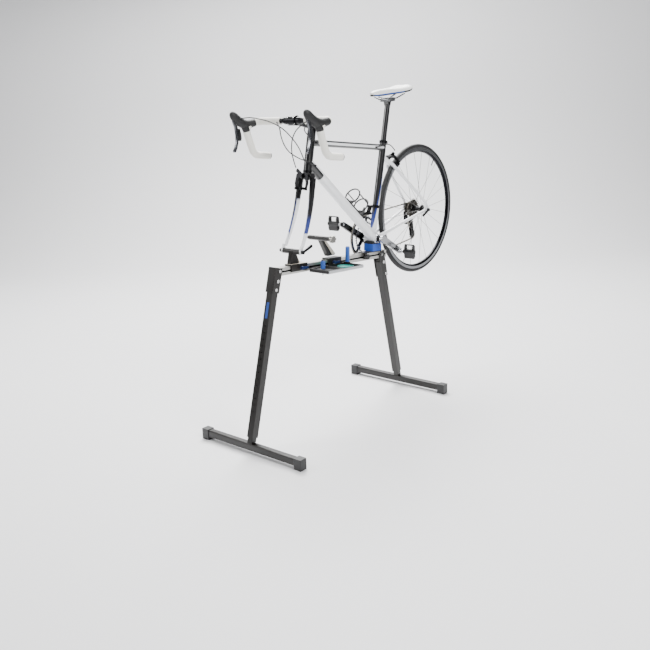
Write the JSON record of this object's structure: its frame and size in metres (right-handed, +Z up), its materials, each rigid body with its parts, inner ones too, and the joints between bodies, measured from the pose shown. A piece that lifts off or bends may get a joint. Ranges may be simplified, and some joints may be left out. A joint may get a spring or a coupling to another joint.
{
  "type": "bicycle on stand",
  "caption": "Road bicycle with its front wheel off, held by the fork ends and bottom bracket on a folding two-leg repair stand with a sloping beam and tool tray.",
  "frame": {"origin": "floor level, midway along the object's length and on its centre plane", "axes": "+X to the rear of the bicycle, +Y to its drive side, +Z up"},
  "size_m": [1.6542, 0.604, 1.5459],
  "materials": {
    "frame_black": "gloss",
    "frame_white": "gloss",
    "fork_paint": "gloss",
    "black_alloy": "satin",
    "white_tape": "wrapped",
    "black_rubber": "matt",
    "silver_alloy": "satin",
    "steel": "polished",
    "housing_black": "smooth",
    "saddle_cover": "padded",
    "rim_alloy": "anodised",
    "tyre_rubber": "fine tread",
    "stand_black": "powder coat",
    "blue_plastic": "smooth",
    "black_plastic": "smooth"
  },
  "bodies": {
    "stand_and_frame": {"head_tube": "frame_black", "top_tube": "frame_black", "down_tube": "frame_white", "seat_tube": "frame_black", "chain_stays": "frame_white", "seat_stays": "frame_white", "fork": "fork_paint", "frame_fittings": "black_alloy", "bottle_cage": "black_plastic", "handlebar": "black_alloy", "bar_tape": "white_tape", "hoods": "black_rubber", "housing_right_shift": "housing_black", "housing_left_shift": "housing_black", "housing_front_brake": "housing_black", "housing_rear_brake": "housing_black", "housing_rear_loop": "housing_black", "chain": "steel", "rear_axle": "steel", "beam": "silver_alloy", "leg_brackets": "stand_black", "fork_holder": "stand_black", "rear_holder": "stand_black", "cradle": "blue_plastic", "tray": "black_plastic"},
    "crankset": {"crank_arms": "silver_alloy", "chainrings": "black_alloy"},
    "left_pedal": {"pedal_left": "black_alloy"},
    "right_pedal": {"pedal_right": "black_alloy"},
    "sprockets": {"cassette": "steel"},
    "rear_wheel": {"rim": "rim_alloy", "tyre": "tyre_rubber", "wheel_hub": "steel"},
    "derailleur": {"rear_derailleur": "black_alloy"},
    "upper_jockey_wheel": {"upper_jockey": "black_plastic"},
    "lower_jockey_wheel": {"lower_jockey": "black_plastic"},
    "chain_guide": {"front_derailleur": "black_alloy"},
    "right_brake_lever": {"brake_lever_right": "silver_alloy"},
    "right_shift_paddle": {"shift_paddle_right": "black_plastic"},
    "left_brake_lever": {"brake_lever_left": "silver_alloy"},
    "left_shift_paddle": {"shift_paddle_left": "black_plastic"},
    "rear_caliper_right_arm": {"rear_caliper_right": "black_alloy"},
    "rear_caliper_left_arm": {"rear_caliper_left": "black_alloy"},
    "front_caliper_right_arm": {"front_caliper_right": "black_alloy"},
    "front_caliper_left_arm": {"front_caliper_left": "black_alloy"},
    "seat": {"seatpost": "black_alloy", "saddle": "saddle_cover"},
    "front_leg": {"front_leg_tube": "stand_black"},
    "front_foot": {"front_foot": "stand_black"},
    "rear_leg": {"rear_leg_tube": "stand_black"},
    "rear_foot": {"rear_foot": "stand_black"},
    "rear_quick_lever_body": {"rear_quick_lever": "black_alloy"},
    "fork_holder_lever_body": {"fork_holder_lever": "black_alloy"},
    "holder_knob": {"rear_holder_knob": "black_alloy"},
    "cradle_knob_body": {"cradle_knob": "black_plastic"},
    "front_clamp_lever_body": {"front_clamp_lever": "blue_plastic"},
    "rear_clamp_lever_body": {"rear_clamp_lever": "blue_plastic"},
    "rear_screwdriver": {"screwdriver_rear": "blue_plastic"},
    "front_screwdriver": {"screwdriver_front": "blue_plastic"}
  },
  "joints": [
    {"name": "crank_spin", "type": "hinge", "parent": "stand_and_frame", "child": "crankset", "pos_m": [0.1015, 0, 0.8179], "axis": [0, -1, 0], "continuous": true, "deforming": ["chain"]},
    {"name": "left_pedal_spin", "type": "hinge", "parent": "crankset", "child": "left_pedal", "pos_m": [0.25266, -0.117, 0.7348], "axis": [0, -1, 0], "continuous": true},
    {"name": "right_pedal_spin", "type": "hinge", "parent": "crankset", "child": "right_pedal", "pos_m": [-0.04966, 0.117, 0.901], "axis": [0, -1, 0], "continuous": true},
    {"name": "cassette_spin", "type": "hinge", "parent": "stand_and_frame", "child": "sprockets", "pos_m": [0.49437, 0.04, 0.91624], "axis": [0, -1, 0], "continuous": true},
    {"name": "rear_wheel_spin", "type": "hinge", "parent": "stand_and_frame", "child": "rear_wheel", "pos_m": [0.49437, 0, 0.91624], "axis": [0, -1, 0], "continuous": true},
    {"name": "rear_derailleur_swing", "type": "hinge", "parent": "stand_and_frame", "child": "derailleur", "pos_m": [0.50735, 0.077, 0.8891], "axis": [0, 1, 0], "range_deg": [0, 14]},
    {"name": "upper_jockey_spin", "type": "hinge", "parent": "derailleur", "child": "upper_jockey_wheel", "pos_m": [0.51202, 0.0482, 0.83931], "axis": [0, -1, 0], "continuous": true},
    {"name": "lower_jockey_spin", "type": "hinge", "parent": "derailleur", "child": "lower_jockey_wheel", "pos_m": [0.52267, 0.0482, 0.7747], "axis": [0, -1, 0], "continuous": true},
    {"name": "front_derailleur_shift", "type": "slide", "parent": "stand_and_frame", "child": "chain_guide", "axis": [0, -1, 0], "range_m": [0, 0.005]},
    {"name": "right_brake_lever_squeeze", "type": "hinge", "parent": "stand_and_frame", "child": "right_brake_lever", "pos_m": [-0.58982, 0.21, 1.413], "axis": [0, -1, 0], "range_deg": [0, 12], "stiffness_Nm_per_rad": 1.5},
    {"name": "right_shift_paddle_push", "type": "hinge", "parent": "right_brake_lever", "child": "right_shift_paddle", "pos_m": [-0.56601, 0.207, 1.3746], "axis": [-0.9974, 0, -0.0715], "range_deg": [0, 12], "stiffness_Nm_per_rad": 0.3},
    {"name": "left_brake_lever_squeeze", "type": "hinge", "parent": "stand_and_frame", "child": "left_brake_lever", "pos_m": [-0.58982, -0.21, 1.413], "axis": [0, -1, 0], "range_deg": [0, 12], "stiffness_Nm_per_rad": 1.5},
    {"name": "left_shift_paddle_push", "type": "hinge", "parent": "left_brake_lever", "child": "left_shift_paddle", "pos_m": [-0.56601, -0.207, 1.3746], "axis": [0.9974, 0, 0.0715], "range_deg": [0, 12], "stiffness_Nm_per_rad": 0.3},
    {"name": "rear_right_caliper_close", "type": "hinge", "parent": "stand_and_frame", "child": "rear_caliper_right_arm", "pos_m": [0.25771, 0, 1.19353], "axis": [0.7239, 0, 0.6899], "range_deg": [-1.4, 0]},
    {"name": "rear_left_caliper_close", "type": "hinge", "parent": "stand_and_frame", "child": "rear_caliper_left_arm", "pos_m": [0.25771, 0, 1.19353], "axis": [0.7239, 0, 0.6899], "range_deg": [0, 1.4]},
    {"name": "front_right_caliper_close", "type": "hinge", "parent": "stand_and_frame", "child": "front_caliper_right_arm", "pos_m": [-0.39087, 0, 1.16315], "axis": [-0.9748, 0, 0.223], "range_deg": [0, 1.4]},
    {"name": "front_left_caliper_close", "type": "hinge", "parent": "stand_and_frame", "child": "front_caliper_left_arm", "pos_m": [-0.39087, 0, 1.16315], "axis": [-0.9748, 0, 0.223], "range_deg": [-1.4, 0]},
    {"name": "seatpost_slide", "type": "slide", "parent": "stand_and_frame", "child": "seat", "axis": [0.2233, 0, 0.9748], "range_m": [-0.08, 0.05]},
    {"name": "front_leg_fold", "type": "hinge", "parent": "stand_and_frame", "child": "front_leg", "pos_m": [-0.6135, 0, 0.736], "axis": [0, -1, 0], "range_deg": [0, 75]},
    {"name": "front_leg_extend", "type": "slide", "parent": "front_leg", "child": "front_foot", "axis": [-0.2706, 0, -0.9627], "range_m": [0, 0.116]},
    {"name": "rear_leg_fold", "type": "hinge", "parent": "stand_and_frame", "child": "rear_leg", "pos_m": [0.1613, 0, 0.69], "axis": [0, -1, 0], "range_deg": [-75, 0]},
    {"name": "rear_leg_extend", "type": "slide", "parent": "rear_leg", "child": "rear_foot", "axis": [0.2181, 0, -0.9759], "range_m": [0, 0.116]},
    {"name": "rear_quick_lever_flip", "type": "hinge", "parent": "stand_and_frame", "child": "rear_quick_lever_body", "pos_m": [0.49437, -0.0785, 0.91624], "axis": [-0.4083, 0, 0.9128], "range_deg": [0, 100]},
    {"name": "fork_holder_lever_flip", "type": "hinge", "parent": "stand_and_frame", "child": "fork_holder_lever_body", "pos_m": [-0.488, -0.0645, 0.8458], "axis": [0.342, 0, -0.9397], "range_deg": [0, 100]},
    {"name": "rear_holder_knob_turn", "type": "hinge", "parent": "stand_and_frame", "child": "holder_knob", "pos_m": [-0.2965, -0.07, 0.876], "axis": [0, -1, 0], "continuous": true},
    {"name": "cradle_knob_turn", "type": "hinge", "parent": "stand_and_frame", "child": "cradle_knob_body", "pos_m": [0.01574, -0.03, 0.74029], "axis": [0, -1, 0], "range_deg": [-180, 180]},
    {"name": "front_clamp_lever_flip", "type": "hinge", "parent": "stand_and_frame", "child": "front_clamp_lever_body", "pos_m": [-0.45742, -0.03, 0.76858], "axis": [0, -1, 0], "range_deg": [0, 100]},
    {"name": "rear_clamp_lever_flip", "type": "hinge", "parent": "stand_and_frame", "child": "rear_clamp_lever_body", "pos_m": [-0.23276, -0.03, 0.7561], "axis": [0, -1, 0], "range_deg": [0, 100]},
    {"name": "rear_screwdriver_lift", "type": "slide", "parent": "stand_and_frame", "child": "rear_screwdriver", "axis": [0.0555, 0, 0.9985], "range_m": [0, 0.12]},
    {"name": "front_screwdriver_lift", "type": "slide", "parent": "stand_and_frame", "child": "front_screwdriver", "axis": [0.0555, 0, 0.9985], "range_m": [0, 0.12]}
  ],
  "couplings": [
    {"joint": "cassette_spin", "follows": "crank_spin", "ratio": 3.5333},
    {"joint": "upper_jockey_spin", "follows": "crank_spin", "ratio": -4.8182},
    {"joint": "lower_jockey_spin", "follows": "crank_spin", "ratio": 4.8182},
    {"joint": "front_derailleur_shift", "follows": "left_shift_paddle_push", "m_per_rad": 0.023873},
    {"joint": "rear_right_caliper_close", "follows": "right_brake_lever_squeeze", "ratio": -0.11667},
    {"joint": "rear_left_caliper_close", "follows": "right_brake_lever_squeeze", "ratio": 0.11667},
    {"joint": "front_right_caliper_close", "follows": "left_brake_lever_squeeze", "ratio": 0.11667},
    {"joint": "front_left_caliper_close", "follows": "left_brake_lever_squeeze", "ratio": -0.11667}
  ]
}
